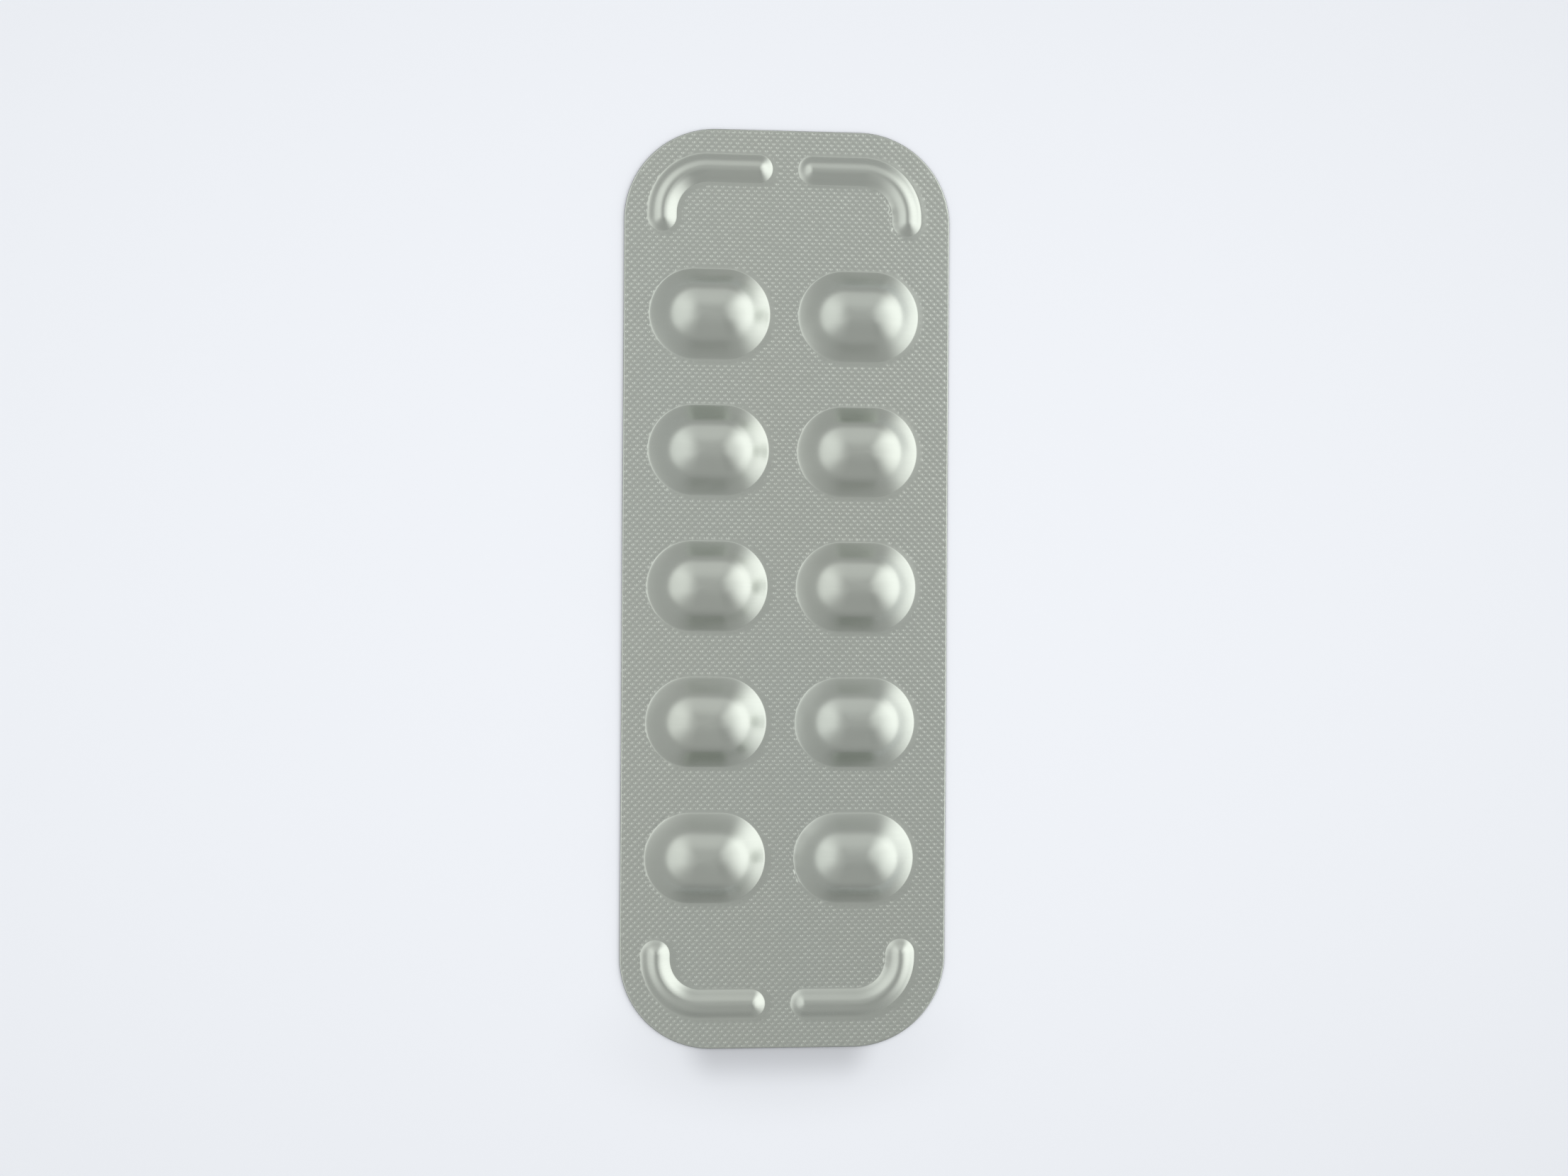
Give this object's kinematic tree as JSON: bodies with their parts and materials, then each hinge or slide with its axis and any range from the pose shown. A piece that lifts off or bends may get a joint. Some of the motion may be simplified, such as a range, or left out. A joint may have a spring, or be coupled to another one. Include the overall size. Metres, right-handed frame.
{
  "type": "pill blister pack",
  "caption": "Flat all-foil tablet pack with rounded corners, two columns of oval domed pockets, a stiffening bead round each corner and a dimpled seal between them.",
  "frame": {"origin": "under the middle of the cut outline, on the outer face of the lidding foil", "axes": "+Z out of the pockets, +Y along the pack, +X across it"},
  "size_m": [0.038, 0.1068, 0.003],
  "materials": {
    "satin_foil": "satin"
  },
  "bodies": {
    "root": {"blister_pack": "satin_foil"}
  },
  "joints": []
}
